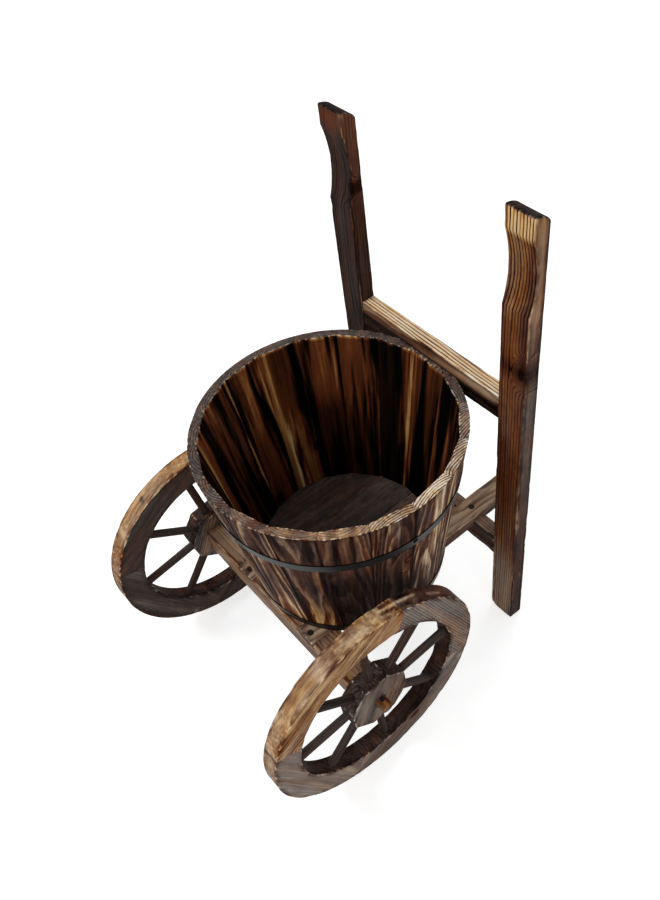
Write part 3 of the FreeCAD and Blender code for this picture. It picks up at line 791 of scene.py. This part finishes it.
class BuildStaves(bpy.types.Operator):
    """Builds the eighteen staves of the barrel"""

    bl_idname = "cart_planter.staves"
    bl_label = "Staves"

    def execute(self, context):
        sizes = settings().sizes
        middle = box_centre("lower_hoop")
        for number in range(1, STAVE_COUNT + 1):
            name = f"stave_{number:02d}"
            points = [v.co for v in frame["nodes"][name].data.vertices]
            top = max(p.z for p in points)
            bottom = min(p.z for p in points)
            turn = math.radians(FIRST_SEAM + 360 / STAVE_COUNT * (number - 0.5))
            out = Vector((math.cos(turn), math.sin(turn), 0))
            inner = [min((p - middle).dot(out) for p in points if abs(p.z - z) < MM) for z in (bottom, top)]
            up = (out * (inner[1] - inner[0]) + Z_AXIS * (top - bottom)).normalized()
            thick = (out - up * out.dot(up)).normalized()
            axes = (up, up.cross(thick), thick)
            centre = box_centre(name)
            start = (centre - middle).dot(out) / MM
            spot = centre + sum((axis * step for axis, step in zip(axes, CHIP_AND_GLINT_PLACE)), Vector()) * MM
            chipped_with_glint = number == CHIPPED_GLINT_STAVE

            def half_width(along, deep, start=start, up_out=up.dot(out), deep_out=thick.dot(out)):
                return (start + along * up_out + deep * deep_out) * math.tan(math.pi / STAVE_COUNT)

            looks = Looks(
                heart=stave_heart(number, turn),
                lean=(draw(number + 60, -0.012, 0.012), draw(number + 80, -0.05, 0.05)),
                knot=STAVE_KNOTS.get(number),
                paint=stave_paint(number, half_width, (top - bottom) / MM),
                # The chip is broken wood, and its lightness of 1.2 is also a painted highlight.
                chips=(Chip(spot, width=2.6 * MM, depth=1.2 * MM, light=1.2),) if chipped_with_glint else (),
                joint=lambda face, side=axes[1]: abs(face.normal.dot(side)) > 0.8,
            )
            step_along = sizes.grid_along * (0.3 if chipped_with_glint else 1.0)
            spacings = (step_along, sizes.grid_across * 0.55, sizes.grid_across * 1.3)
            wooden_piece(name, axes, looks, number, sizes.stave_round, spacings)
        return {"FINISHED"}


FLOOR_BURN = Burn(0.31, 0.07, 0.15, 0.08)


class BuildFloor(bpy.types.Operator):
    """Builds the two floor boards of the barrel"""

    bl_idname = "cart_planter.floor"
    bl_label = "Floor boards"

    def execute(self, context):
        axes = (Y_AXIS, -X_AXIS, Z_AXIS)
        for seed, side in enumerate(SIDES, FLOOR_SEED):
            looks = Looks(heart=(draw(seed, -20, 20), -40), paint=lambda *place: FLOOR_BURN)
            wooden_piece(side + "_floor_board", axes, looks, seed)
        return {"FINISHED"}


class BuildHoops(bpy.types.Operator):
    """Paints the two steel hoops and their rivets black"""

    bl_idname = "cart_planter.hoops"
    bl_label = "Hoops"

    def execute(self, context):
        colours = settings().colours
        black = steel(
            "hoop_paint", colours.hoop_black, colours.hoop_rub, roughness=0.26, spot=0.5, gloss=0.12
        )
        for node in ("upper_hoop", "lower_hoop", "hoop_rivets"):
            finish_node(node, black)
        return {"FINISHED"}


# The right wheel's treads and outer sides by felloe, and the faces that the other felloes share.
RIGHT_TREADS = (
    Burn(0.28, 0.10, 0.2, 0.40),
    Burn(0.57, 0.17, -0.18, 0.60),
    Burn(0.47, 0.16, -0.2, 0.45),
    Burn(0.30, 0.12, 0.3, 0.4),
)
RIGHT_SIDES = (
    Burn(0.40, 0.11, 0.75, 0.16),
    Burn(0.47, 0.26, 0.35, 0.78),
    Burn(0.46, 0.08, 0.12, 0.12),
    Burn(0.43, 0.11, 0.3, 0.16),
)
LEFT_TREAD = Burn(0.52, 0.16, -0.15, 0.70)
FELLOE_INSIDE = Burn(0.16, 0.06, 0.4, 0.30)
PLAIN_SIDE = Burn(0.28, 0.08, 0.2, 0.08)
FELLOE_KNOTS = {"right_felloe_4": (5.0, 18.0)}


def felloe_paint(side, number):
    """Golden tread, grey brown sides, dark inner face."""
    right = side == "right"

    def paint(along, across, thick, facing):
        if facing[1] > 0.5:
            return RIGHT_TREADS[number - 1] if right else LEFT_TREAD
        if facing[1] < -0.5:
            return FELLOE_INSIDE
        if right and facing[2] > 0.5:
            return RIGHT_SIDES[number - 1]
        return PLAIN_SIDE

    return paint


# Splits near the joints of the felloes: turn in degrees, radius and place outwards in millimetres.
SPLITS = {
    "right_felloe_1": ((62.0, 147.0, 6.0), (-14.0, 146.0, 8.0)),
    "right_felloe_2": ((76.0, 148.0, 10.0), (84.0, 149.0, 2.0), (94.0, 148.0, 12.0), (150.0, 148.0, 4.0)),
    "right_felloe_4": ((265.0, 112.0, 6.0), (335.0, 145.0, 10.0)),
    "left_felloe_2": ((88.0, 148.0, 8.0), (140.0, 148.0, 0.0)),
    "left_felloe_3": ((240.0, 146.0, 10.0),),
}


# Tears of the treads: two ends, each a turn and a place outwards, then depth and change of lightness.
# The light ones are slivers and the dark ones the gaps beside them, darkened with painted shade.
TEARS = {
    "right_felloe_1": (
        ((70.0, -2.8), (65.0, -2.6), 0.0, 0.62),
        ((65.0, -2.6), (60.0, -2.4), 0.3, 0.58),
        ((69.0, 2.6), (59.0, 7.5), 3.4, -0.30),
        ((69.0, -7.4), (62.0, -7.0), 3.0, -0.30),
        ((52.0, 2.0), (44.0, 3.5), 0.8, 0.34),
    ),
    "right_felloe_2": (
        ((80.0, -3.8), (71.0, -2.8), 0.0, 0.30),
        ((79.0, 0.4), (72.0, 1.6), 3.2, -0.60),
        ((78.0, -7.2), (72.0, -7.4), 3.0, -0.60),
        ((75.0, 7.5), (72.0, 5.5), 2.4, -0.50),
    ),
}


def on_wheel(hub, degrees, radius, outwards):
    """The place at a turn in degrees and a radius and a place outwards in millimetres."""
    turn = math.radians(degrees)
    return hub + Vector((outwards, radius * math.cos(turn), radius * math.sin(turn))) * MM


def felloe_chips(name, hub):
    """The chips and tears of a felloe. The wheel stands on the ground, so its hub is a radius high."""
    chips = [Chip(on_wheel(hub, *place), 4.5 * MM, 2.2 * MM) for place in SPLITS.get(name, ())]
    for *ends, depth, light in TEARS.get(name, ()):
        start, end = (on_wheel(hub, degrees, hub.z / MM, outwards) for degrees, outwards in ends)
        chips.append(Chip(start, 2.0 * MM, depth * MM, light, end - start))
    return tuple(chips)


class BuildFelloes(bpy.types.Operator):
    """Builds the four felloes of each wheel's rim"""

    bl_idname = "cart_planter.felloes"
    bl_label = "Felloes"

    def execute(self, context):
        sizes = settings().sizes
        for seed, side in enumerate(SIDES):
            hub = box_centre(side + "_hub")

            def seam(face):
                out = face.calc_center_median() - hub
                return abs(face.normal.x) < 0.1 and abs(face.normal.dot(out.normalized())) < 0.3

            for number in range(1, FELLOE_COUNT + 1):
                name = f"{side}_felloe_{number}"
                points = [v.co for v in frame["nodes"][name].data.vertices]
                out = sum(points, Vector()) / len(points) - hub
                out.x = 0
                out.normalize()
                axes = (out.cross(X_AXIS), out, X_AXIS)
                key = FELLOE_SEED + 10 * seed + number
                looks = Looks(
                    heart=(-95 + draw(key, -20, 20), draw(key + 5, -25, 25)),
                    lean=(draw(key + 9, -0.10, 0.10), 0.0),
                    knot=FELLOE_KNOTS.get(name),
                    paint=felloe_paint(side, number),
                    chips=felloe_chips(name, hub),
                    knocks=1.3,
                    joint=seam,
                )
                fine = (sizes.grid_along * 0.6, sizes.grid_across, sizes.grid_across * 0.55)
                spacings = fine if name in TEARS else None
                wooden_piece(name, axes, looks, key, spacings=spacings)
        return {"FINISHED"}


SPOKE_BURN = Burn(0.21, 0.08, 0.2, 0.08)
SPOKE_ROUND = 0.6 * MM


class BuildSpokes(bpy.types.Operator):
    """Builds the eight dowel spokes of each wheel"""

    bl_idname = "cart_planter.spokes"
    bl_label = "Spokes"

    def execute(self, context):
        for seed, side in enumerate(SIDES):
            hub = box_centre(side + "_hub")
            for number in range(1, SPOKE_COUNT + 1):
                name = f"{side}_spoke_{number}"
                out = (box_centre(name) - hub).normalized()
                axes = (out, X_AXIS, out.cross(X_AXIS))
                key = SPOKE_SEED + 10 * seed + number
                heart = (draw(key, -20, 20), draw(key + 3, 15, 40))
                looks = Looks(heart, paint=lambda *place: SPOKE_BURN, knocks=0.0)
                wooden_piece(name, axes, looks, key, edge_round=SPOKE_ROUND)
        return {"FINISHED"}


HUB_GRAIN = Vector((0, 0.45, 0.89)).normalized()
HUB_FACE = Burn(0.37, 0.12, 0.3, 0.14)
HUB_SIDE = Burn(0.20, 0.09, 0.4, 0.2)


class BuildHubs(bpy.types.Operator):
    """Builds the eight-sided hub of each wheel"""

    bl_idname = "cart_planter.hubs"
    bl_label = "Hubs"

    def execute(self, context):
        axes = (HUB_GRAIN, X_AXIS.cross(HUB_GRAIN), X_AXIS)

        def paint(along, across, thick, facing):
            return HUB_FACE if abs(facing[2]) > 0.6 else HUB_SIDE

        for seed, side in enumerate(SIDES, HUB_SEED):
            looks = Looks(heart=(55, 10), paint=paint)
            wooden_piece(side + "_hub", axes, looks, seed)
        return {"FINISHED"}


JOURNAL_REACH = 20.0
JOURNAL_BURN = Burn(0.36, 0.12, 0.2, 0.75)


class BuildAxle(bpy.types.Operator):
    """Builds the axle beam with its round journals"""

    bl_idname = "cart_planter.axle"
    bl_label = "Axle"

    def execute(self, context):
        axes = (X_AXIS, Y_AXIS, Z_AXIS)
        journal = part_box("axle_beam")[1].x / MM - JOURNAL_REACH

        def paint(along, across, thick, facing):
            if abs(along) > journal:
                return JOURNAL_BURN
            return Burn(0.43, 0.13, 0.45, 0.52 - 0.2 * smooth_step(-8, -16, thick))

        looks = Looks(heart=(-30, 26), lean=(0.02, 0.03), paint=paint)
        wooden_piece("axle_beam", axes, looks, AXLE_SEED)
        return {"FINISHED"}


SIDE_RAIL_TOP = Burn(0.50, 0.15, 0.6, 0.36)
SIDE_RAIL_EDGE = Burn(0.34, 0.12, 0.5, 0.25)


class BuildSideRails(bpy.types.Operator):
    """Builds the two side rails that carry the barrel"""

    bl_idname = "cart_planter.side_rails"
    bl_label = "Side rails"

    def execute(self, context):
        axes = (Y_AXIS, -X_AXIS, Z_AXIS)

        def paint(along, across, thick, facing):
            return SIDE_RAIL_TOP if facing[2] > 0.4 else SIDE_RAIL_EDGE

        for seed, side in enumerate(SIDES, SIDE_RAIL_SEED):
            looks = Looks(heart=(12, -36), lean=(0.03, 0.05), paint=paint)
            wooden_piece(side + "_side_rail", axes, looks, seed)
        return {"FINISHED"}


UPPER_RAIL_TOP = Burn(0.69, 0.34, 0.9, 0.55)
LOWER_RAIL_TOP = Burn(0.40, 0.14, 0.6, 0.3)
LOWER_RAIL_FRONT = Burn(0.26, 0.10, 0.5, 0.3)


class BuildCrossRails(bpy.types.Operator):
    """Builds the upper and lower cross rails between the uprights"""

    bl_idname = "cart_planter.cross_rails"
    bl_label = "Cross rails"

    def execute(self, context):
        axes = (X_AXIS, Z_AXIS, -Y_AXIS)

        def upper(along, across, thick, facing):
            if facing[1] > 0.4:
                return UPPER_RAIL_TOP
            light = 0.08 + 0.36 * smooth_step(-2.0, 8.0, across)
            return Burn(light, 0.04 + 0.3 * light, 0.5, 0.5)

        def lower(along, across, thick, facing):
            return LOWER_RAIL_TOP if facing[1] > 0.4 else LOWER_RAIL_FRONT

        for seed, (name, paint) in enumerate((("upper", upper), ("lower", lower)), CROSS_RAIL_SEED):
            looks = Looks(heart=(4, -52), lean=(0.01, 0.01), paint=paint)
            wooden_piece(name + "_cross_rail", axes, looks, seed)
        return {"FINISHED"}


LEFT_POST_TOP = Burn(0.10, 0.05, 0.5, 0.1)
RIGHT_POST_TOP = Burn(0.12, 0.06, 0.8, 0.1)
# How far below the top the grip's hollow ends, and how far above the post's middle a scar lies.
HOLLOW_END = 128.0
SCAR_HEIGHT = 143.0
POST_ROUND = 2 * MM
# How far below the top the chips of the right post's front corner lie.
POST_CHIP_DROPS = (3, 44, 430, 452)


def left_post_paint(half):
    """Dark, with brown at the head and on the inner side. half is half the post's height."""

    def paint(along, across, thick, facing):
        if facing[0] > 0.5:
            return LEFT_POST_TOP
        if facing[1] > 0.5:
            return Burn(0.17 + 0.08 * smooth_step(half - 150, half - 40, along), 0.07, 0.5, 0.50)
        head = smooth_step(half - 40, half - 8, along)
        return Burn(0.15 + 0.08 * head, 0.06, 0.5, 0.20 + 0.5 * head)

    return paint


def right_post_paint(half):
    """Brown, with a light ringed head, a dark hollow and scar, and a paler foot and side."""

    def paint(along, across, thick, facing):
        if facing[0] > 0.5:
            return RIGHT_POST_TOP
        head = smooth_step(half - 34, half - 24, along)
        foot = smooth_step(-half + 190, -half + 90, along)
        unscarred = 1 - 0.55 * bell(along - SCAR_HEIGHT, 12)
        if facing[1] > 0.5:
            tanned = smooth_step(half - 190, half - 90, along)
            light = (0.29 + 0.15 * tanned) * (1 - 0.5 * smooth_step(4, 9, thick))
            return Burn(light * unscarred, 0.12, 0.5, 0.25 + 0.35 * tanned)
        shade = 1 - 0.4 * smooth_step(4, 12, across) * smooth_step(130, 150, along) * (1 - head)
        if head < 0.5 and along > half - HOLLOW_END:
            return Burn(0.24 * shade * unscarred, 0.18, 0.85, 0.85)
        light = 0.235 * shade + 0.22 * head + 0.20 * foot
        return Burn(light * unscarred, 0.11 + 0.17 * head, 0.8 + 0.3 * head, 0.85 - 0.5 * foot)

    return paint


def corner_chip(low, high, drop):
    """A chip of a post's front right corner, some millimetres below its top."""
    return Chip(Vector((high.x, low.y, high.z - drop * MM)), 3.5 * MM, 1.5 * MM)


class BuildUprights(bpy.types.Operator):
    """Builds the two uprights with their hand grips"""

    bl_idname = "cart_planter.uprights"
    bl_label = "Uprights"

    def execute(self, context):
        axes = (Z_AXIS, X_AXIS, Y_AXIS)
        low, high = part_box("left_upright")
        half = (high.z - low.z) / 2 / MM
        left = Looks(
            heart=(10, -24),
            lean=(0.02, 0.03),
            knot=(245.0, 17.0),
            paint=left_post_paint(half),
            chips=(corner_chip(low, high, 3),),
        )
        low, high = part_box("right_upright")
        chips = [Chip(low + 2 * MM * Vector((1, 1, 1)), 5 * MM, 2.5 * MM)]
        for drop in POST_CHIP_DROPS:
            chips.append(corner_chip(low, high, drop))
        right = Looks(
            heart=(-80, 6),
            lean=(0.004, 0.01),
            knot=(SCAR_HEIGHT, 12.0),
            paint=right_post_paint(half),
            chips=tuple(chips),
        )
        for seed, (side, looks) in enumerate(zip(SIDES, (left, right)), POST_SEED):
            wooden_piece(side + "_upright", axes, looks, seed, POST_ROUND)
        return {"FINISHED"}


class BuildFasteners(bpy.types.Operator):
    """Gives the screws and linchpins their dull steel"""

    bl_idname = "cart_planter.fasteners"
    bl_label = "Fasteners"

    def execute(self, context):
        colours = settings().colours
        dull = steel("dull_steel", colours.dull_steel, colours.rust, roughness=0.55, spot=0.8, gloss=0.15)
        for node in ("frame_screws", "barrel_screws", "linchpins"):
            finish_node(node, dull)
        return {"FINISHED"}


# The fitted camera: its place in metres, its directions, and its lens in pixels of the picture.
CAMERA_EYE = (0.57775, -0.34145, 1.12362)
CAMERA_RIGHT = (0.65578, 0.75120, -0.07520)
CAMERA_DOWN = (0.53452, -0.53234, -0.65644)
FOCAL_PIXELS = 887.07
PICTURE = (660, 900)
AXIS_PIXEL = (382.16, 447.29)
SENSOR_WIDTH = 36.0
# Name, place and width in metres, and power in watts.
LAMPS = (
    ("key", (-1.0, -1.5, 2.4), 0.9, 26.0),
    ("fill", (2.2, -0.6, 1.4), 1.6, 9.0),
    ("back", (-0.6, 2.0, 1.9), 1.4, 12.0),
)
FLOOR_RADIUS = 9.0
FLOOR_DROP = 0.5 * MM
FLOOR_GLOW = 0.68
SKY_LIGHT = 0.42


def white_for_the_eye(net):
    """1 where the camera sees a surface, itself or in a gloss, and 0 for other light."""
    path = net.add("ShaderNodeLightPath").outputs
    seen = net.math("MAXIMUM", path["Is Camera Ray"], path["Is Glossy Ray"])
    return net.math("MAXIMUM", seen, path["Is Transmission Ray"])


def add_floor():
    form = bmesh.new()
    bmesh.ops.create_circle(form, cap_ends=True, segments=96, radius=FLOOR_RADIUS)
    mesh = bpy.data.meshes.new("studio_floor")
    form.to_mesh(mesh)
    form.free()
    material = bpy.data.materials.new("studio_floor")
    net = empty_net(material)
    matt = net.add("ShaderNodeBsdfDiffuse", {"Color": (*settings().colours.floor_white, 1.0)})
    glow = net.add("ShaderNodeEmission", {"Strength": net.times(white_for_the_eye(net), FLOOR_GLOW)})
    both = net.add("ShaderNodeAddShader")
    net.feed(both.inputs[0], matt.outputs[0])
    net.feed(both.inputs[1], glow.outputs[0])
    net.feed(net.add("ShaderNodeOutputMaterial").inputs["Surface"], both.outputs[0])
    mesh.materials.append(material)
    floor = bpy.data.objects.new("studio_floor", mesh)
    floor.location.z = -FLOOR_DROP
    bpy.context.scene.collection.objects.link(floor)


def add_world():
    world = bpy.data.worlds.new("studio")
    net = empty_net(world)
    strength = net.plus(SKY_LIGHT, net.times(white_for_the_eye(net), 1 - SKY_LIGHT))
    sky = net.add("ShaderNodeBackground", {"Color": (1, 1, 1, 1), "Strength": strength})
    net.feed(net.add("ShaderNodeOutputWorld").inputs["Surface"], sky.outputs[0])
    bpy.context.scene.world = world


def add_lamps():
    target = (CAD_BOX[0] + CAD_BOX[1]) / 2
    for name, place, width, power in LAMPS:
        data = bpy.data.lights.new(name, "AREA")
        data.shape = "DISK"
        data.size = width
        data.energy = power
        lamp = bpy.data.objects.new(name, data)
        lamp.location = place
        lamp.rotation_mode = "QUATERNION"
        lamp.rotation_quaternion = (target - Vector(place)).to_track_quat("-Z", "Y")
        bpy.context.scene.collection.objects.link(lamp)


def add_camera():
    data = bpy.data.cameras.new("studio_camera")
    longest = max(PICTURE)
    data.sensor_width = SENSOR_WIDTH
    data.lens = FOCAL_PIXELS / longest * SENSOR_WIDTH
    data.shift_x = (PICTURE[0] / 2 - AXIS_PIXEL[0]) / longest
    data.shift_y = (AXIS_PIXEL[1] - PICTURE[1] / 2) / longest
    right = Vector(CAMERA_RIGHT)
    up = -Vector(CAMERA_DOWN)
    back = right.cross(up)
    turn = Matrix((right, up, back)).transposed()
    camera = bpy.data.objects.new("studio_camera", data)
    camera.matrix_world = Matrix.Translation(CAMERA_EYE) @ turn.to_4x4()
    bpy.context.scene.collection.objects.link(camera)
    bpy.context.scene.camera = camera


class BuildStage(bpy.types.Operator):
    """Sets the pale floor and sky, the soft lamps and the camera"""

    bl_idname = "cart_planter.stage"
    bl_label = "Stage"

    def execute(self, context):
        context.scene.view_settings.view_transform = "Standard"
        add_floor()
        add_world()
        add_lamps()
        add_camera()
        return {"FINISHED"}


class CartPlanter(bpy.types.PropertyGroup):
    """All that a user may change of the cart planter"""

    sizes: pointer(CartSizes, "Sizes", "Sizes of wear and grid")
    colours: pointer(CartColours, "Colours", "Colours of wood and steel")
    finish: pointer(CartFinish, "Finish", "Burning, wear and lacquer")


STEPS = (
    BuildStaves,
    BuildFloor,
    BuildHoops,
    BuildFelloes,
    BuildSpokes,
    BuildHubs,
    BuildAxle,
    BuildSideRails,
    BuildCrossRails,
    BuildUprights,
    BuildFasteners,
    BuildStage,
)


class CartPanel(bpy.types.Panel):
    """Lists the settings and the steps of the cart planter"""

    bl_idname = "VIEW3D_PT_cart_planter"
    bl_label = "Cart planter"
    bl_space_type = "VIEW_3D"
    bl_region_type = "UI"
    bl_category = "Cart planter"

    def draw(self, context):
        for group in (settings().sizes, settings().colours, settings().finish):
            box = self.layout.box()
            for name in group.bl_rna.properties.keys():
                if name not in ("rna_type", "name"):
                    box.prop(group, name)
        for step in STEPS:
            self.layout.operator(step.bl_idname)


CLASSES = (CartSizes, CartColours, CartFinish, CartPlanter, *STEPS, CartPanel)


def register():
    for item in CLASSES:
        bpy.utils.register_class(item)
    bpy.types.Scene.cart_planter = bpy.props.PointerProperty(type=CartPlanter)


def unregister():
    del bpy.types.Scene.cart_planter
    for item in reversed(CLASSES):
        bpy.utils.unregister_class(item)


def main():
    register()
    for step in STEPS:
        family, name = step.bl_idname.split(".")
        getattr(getattr(bpy.ops, family), name)()


if __name__ == "__main__":
    main()
